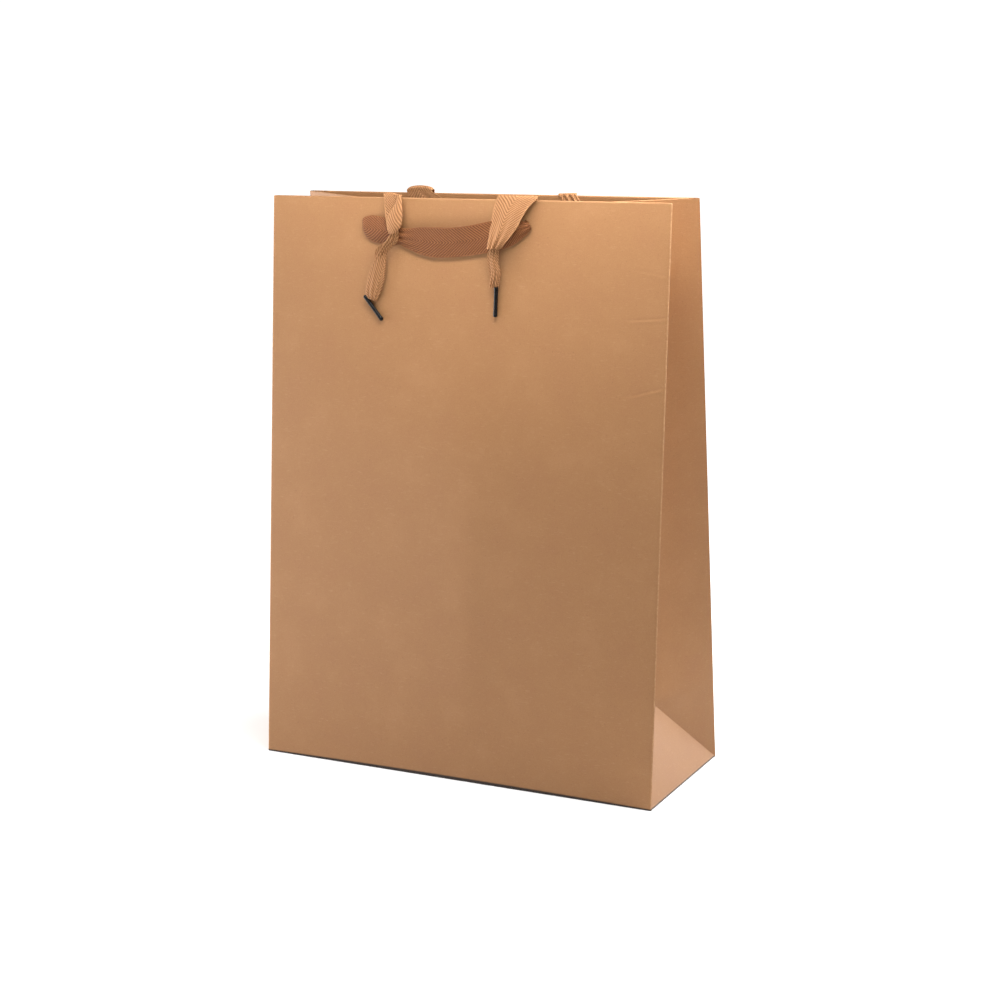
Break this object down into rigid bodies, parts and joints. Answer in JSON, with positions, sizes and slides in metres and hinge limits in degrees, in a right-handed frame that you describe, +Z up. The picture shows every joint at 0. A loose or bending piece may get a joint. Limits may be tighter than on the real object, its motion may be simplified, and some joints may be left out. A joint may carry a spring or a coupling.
{
  "type": "gift bag",
  "caption": "Brown kraft paper carrier bag standing half closed, with inward side gussets, turned-in rim, and flat ribbon handles threaded through the walls with bar ends.",
  "frame": {"origin": "centre of the base on the floor", "axes": "+X right as seen from the front, -Y out of the front wall, +Z up"},
  "size_m": [0.3002, 0.1204, 0.3997],
  "materials": {
    "kraft_paper": "matte kraft paper with fine fibres",
    "card": "grey-brown card",
    "ribbon": "herringbone twill tape",
    "toggle_bar": "moulded black plastic"
  },
  "bodies": {
    "floor": {"bottom_front_flap": "kraft_paper", "bottom_back_flap": "kraft_paper", "bottom_left_flap": "kraft_paper", "bottom_right_flap": "kraft_paper"},
    "base_board": {"base_board": "card"},
    "front_wall": {"front_panel": "kraft_paper", "front_rim_card": "card", "front_hem": "kraft_paper", "front_ribbon_run": "ribbon"},
    "back_wall": {"back_panel": "kraft_paper", "back_rim_card": "card", "back_hem": "kraft_paper", "back_ribbon_run": "ribbon", "side_seam_flap": "kraft_paper"},
    "right_gusset_front": {"right_gusset_front": "kraft_paper"},
    "right_gusset_back": {"right_gusset_back": "kraft_paper"},
    "right_gusset_foot": {"right_gusset_foot": "kraft_paper"},
    "left_gusset_front": {"left_gusset_front": "kraft_paper"},
    "left_gusset_back": {"left_gusset_back": "kraft_paper"},
    "left_gusset_foot": {"left_gusset_foot": "kraft_paper"},
    "front_left_tail_upper": {"front_left_tail_upper": "ribbon"},
    "front_left_tail_lower": {"front_left_tail_lower": "ribbon"},
    "front_left_toggle": {"front_left_toggle": "toggle_bar"},
    "front_right_tail_upper": {"front_right_tail_upper": "ribbon"},
    "front_right_tail_lower": {"front_right_tail_lower": "ribbon"},
    "front_right_toggle": {"front_right_toggle": "toggle_bar"},
    "back_left_tail_upper": {"back_left_tail_upper": "ribbon"},
    "back_left_tail_lower": {"back_left_tail_lower": "ribbon"},
    "back_left_toggle": {"back_left_toggle": "toggle_bar"},
    "back_right_tail_upper": {"back_right_tail_upper": "ribbon"},
    "back_right_tail_lower": {"back_right_tail_lower": "ribbon"},
    "back_right_toggle": {"back_right_toggle": "toggle_bar"}
  },
  "joints": [
    {"name": "mouth", "type": "hinge", "parent": "floor", "child": "front_wall", "pos_m": [0, -0.06, 0], "axis": [-1, 0, 0], "range_deg": [-2.5, 2.4]},
    {"name": "back_wall_lean", "type": "hinge", "parent": "floor", "child": "back_wall", "pos_m": [0, 0.06, 0], "axis": [1, 0, 0], "range_deg": [-2.5, 2.4]},
    {"name": "right_gusset_front_fold", "type": "hinge", "parent": "front_wall", "child": "right_gusset_front", "pos_m": [0.15, -0.05955, -0.00004], "axis": [0, 0.0893, 0.996], "range_deg": [-18.75, 18]},
    {"name": "right_gusset_back_fold", "type": "hinge", "parent": "back_wall", "child": "right_gusset_back", "pos_m": [0.15, 0.05955, -0.00004], "axis": [0, 0.0893, -0.996], "range_deg": [-18.75, 18]},
    {"name": "right_gusset_foot_fold", "type": "hinge", "parent": "floor", "child": "right_gusset_foot", "pos_m": [0.15, 0, 0], "axis": [0, -1, 0], "range_deg": [-5, 4.8]},
    {"name": "left_gusset_front_fold", "type": "hinge", "parent": "front_wall", "child": "left_gusset_front", "pos_m": [-0.15, -0.05955, -0.00004], "axis": [0, -0.0893, -0.996], "range_deg": [-18.75, 18]},
    {"name": "left_gusset_back_fold", "type": "hinge", "parent": "back_wall", "child": "left_gusset_back", "pos_m": [-0.15, 0.05955, -0.00004], "axis": [0, -0.0893, 0.996], "range_deg": [-18.75, 18]},
    {"name": "left_gusset_foot_fold", "type": "hinge", "parent": "floor", "child": "left_gusset_foot", "pos_m": [-0.15, 0, 0], "axis": [0, 1, 0], "range_deg": [-5, 4.8]},
    {"name": "base_board_lift", "type": "slide", "parent": "floor", "child": "base_board", "axis": [0, 0, 1], "range_m": [0, 0.004]},
    {"name": "front_left_ribbon_rim", "type": "hinge", "parent": "front_wall", "child": "front_left_tail_upper", "pos_m": [-0.0545, -0.0254, 0.39925], "axis": [-1, 0, 0], "range_deg": [0, 140]},
    {"name": "front_left_ribbon_bend", "type": "hinge", "parent": "front_left_tail_upper", "child": "front_left_tail_lower", "pos_m": [-0.053, -0.03345, 0.37584], "axis": [-1, 0, 0], "range_deg": [0, 110]},
    {"name": "front_left_toggle_swing", "type": "hinge", "parent": "front_left_tail_lower", "child": "front_left_toggle", "pos_m": [-0.06948, -0.03281, 0.3261], "axis": [0, -0.996, 0.0893], "range_deg": [-15, 15]},
    {"name": "front_right_ribbon_rim", "type": "hinge", "parent": "front_wall", "child": "front_right_tail_upper", "pos_m": [0.042, -0.0254, 0.39925], "axis": [-1, 0, 0], "range_deg": [0, 140]},
    {"name": "front_right_ribbon_bend", "type": "hinge", "parent": "front_right_tail_upper", "child": "front_right_tail_lower", "pos_m": [0.0242, -0.03566, 0.36867], "axis": [-1, 0, 0], "range_deg": [0, 110]},
    {"name": "front_right_toggle_swing", "type": "hinge", "parent": "front_right_tail_lower", "child": "front_right_toggle", "pos_m": [0.02698, -0.03163, 0.33932], "axis": [0, -0.996, 0.0893], "range_deg": [-15, 15]},
    {"name": "back_left_ribbon_rim", "type": "hinge", "parent": "back_wall", "child": "back_left_tail_upper", "pos_m": [0.0545, 0.0254, 0.39925], "axis": [1, 0, 0], "range_deg": [0, 140]},
    {"name": "back_left_ribbon_bend", "type": "hinge", "parent": "back_left_tail_upper", "child": "back_left_tail_lower", "pos_m": [0.053, 0.03345, 0.37584], "axis": [1, 0, 0], "range_deg": [0, 110]},
    {"name": "back_left_toggle_swing", "type": "hinge", "parent": "back_left_tail_lower", "child": "back_left_toggle", "pos_m": [0.06948, 0.03281, 0.3261], "axis": [0, 0.996, 0.0893], "range_deg": [-15, 15]},
    {"name": "back_right_ribbon_rim", "type": "hinge", "parent": "back_wall", "child": "back_right_tail_upper", "pos_m": [-0.059, 0.0254, 0.39925], "axis": [1, 0, 0], "range_deg": [0, 140]},
    {"name": "back_right_ribbon_bend", "type": "hinge", "parent": "back_right_tail_upper", "child": "back_right_tail_lower", "pos_m": [-0.0412, 0.03566, 0.36867], "axis": [1, 0, 0], "range_deg": [0, 110]},
    {"name": "back_right_toggle_swing", "type": "hinge", "parent": "back_right_tail_lower", "child": "back_right_toggle", "pos_m": [-0.04398, 0.03163, 0.33932], "axis": [0, 0.996, 0.0893], "range_deg": [-15, 15]}
  ],
  "couplings": [
    {"joint": "back_wall_lean", "follows": "mouth", "ratio": 1},
    {"joint": "right_gusset_front_fold", "follows": "mouth", "ratio": 7.5},
    {"joint": "right_gusset_back_fold", "follows": "mouth", "ratio": 7.5},
    {"joint": "right_gusset_foot_fold", "follows": "mouth", "ratio": 2},
    {"joint": "left_gusset_front_fold", "follows": "mouth", "ratio": 7.5},
    {"joint": "left_gusset_back_fold", "follows": "mouth", "ratio": 7.5},
    {"joint": "left_gusset_foot_fold", "follows": "mouth", "ratio": 2}
  ]
}
